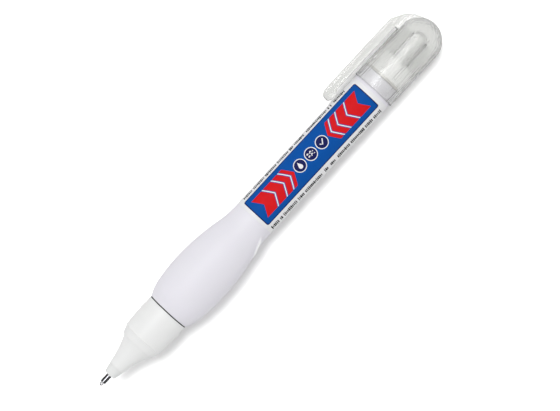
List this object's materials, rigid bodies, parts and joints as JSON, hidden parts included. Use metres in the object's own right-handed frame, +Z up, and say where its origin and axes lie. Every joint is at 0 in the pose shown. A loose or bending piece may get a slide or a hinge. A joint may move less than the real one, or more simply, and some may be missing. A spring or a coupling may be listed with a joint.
{
  "type": "correction fluid pen",
  "caption": "Squeezable correction-fluid pen with a swollen grip, ball tip and valve, wrap label and clear clip cap posted on the rear.",
  "frame": {"origin": "middle of the posted pen's box, at the level of the surface that it lies on", "axes": "+X along the pen's axis to the capped rear, +Y to the pocket clip, +Z up through the middle of the label"},
  "size_m": [0.146, 0.0198, 0.0184],
  "materials": {
    "bottle": "soft white bottle plastic, satin",
    "nose": "stiff white moulded plastic",
    "tip_steel": "drawn and polished",
    "ball_steel": "ground and polished",
    "spring_steel": "bright wire",
    "natural_plastic": "undyed moulded plastic",
    "label": "printed film, mostly blue and white",
    "clear_cap": "clear moulded plastic",
    "clear_liner": "slightly milky clear plastic"
  },
  "bodies": {
    "barrel": {"squeeze_barrel": "bottle", "nose_cone": "nose", "tip_holder": "nose", "metal_tip": "tip_steel", "valve_spring": "spring_steel", "spring_stop": "natural_plastic", "tail_plug": "natural_plastic", "label_film": "label"},
    "valve": {"valve_pin": "tip_steel"},
    "writing_ball": {"writing_ball": "ball_steel"},
    "mixing_ball": {"mixing_ball": "ball_steel"},
    "cap": {"cap_shell": "clear_cap", "cap_liner": "clear_liner"},
    "clip": {"cap_clip": "clear_cap"}
  },
  "joints": [
    {"name": "cap_pull", "type": "slide", "parent": "barrel", "child": "cap", "axis": [1, 0, 0], "range_m": [0, 0.05]},
    {"name": "clip_flex", "type": "hinge", "parent": "cap", "child": "clip", "pos_m": [0.0642, 0.00852, 0.0092], "axis": [0, 0, 1], "range_deg": [-6, 0], "stiffness_Nm_per_rad": 0.9},
    {"name": "tip_press", "type": "slide", "parent": "barrel", "child": "valve", "axis": [1, 0, 0], "range_m": [0, 0.00025], "stiffness_N_per_m": 300, "springref_m": -0.001, "deforming": ["valve_spring"]},
    {"name": "ball_spin", "type": "hinge", "parent": "valve", "child": "writing_ball", "pos_m": [-0.0725, -0.00072, 0.0092], "axis": [0, 1, 0], "continuous": true},
    {"name": "mixing_ball_roll", "type": "slide", "parent": "barrel", "child": "mixing_ball", "axis": [1, 0, 0], "range_m": [-0.058, 0.0125]}
  ]
}
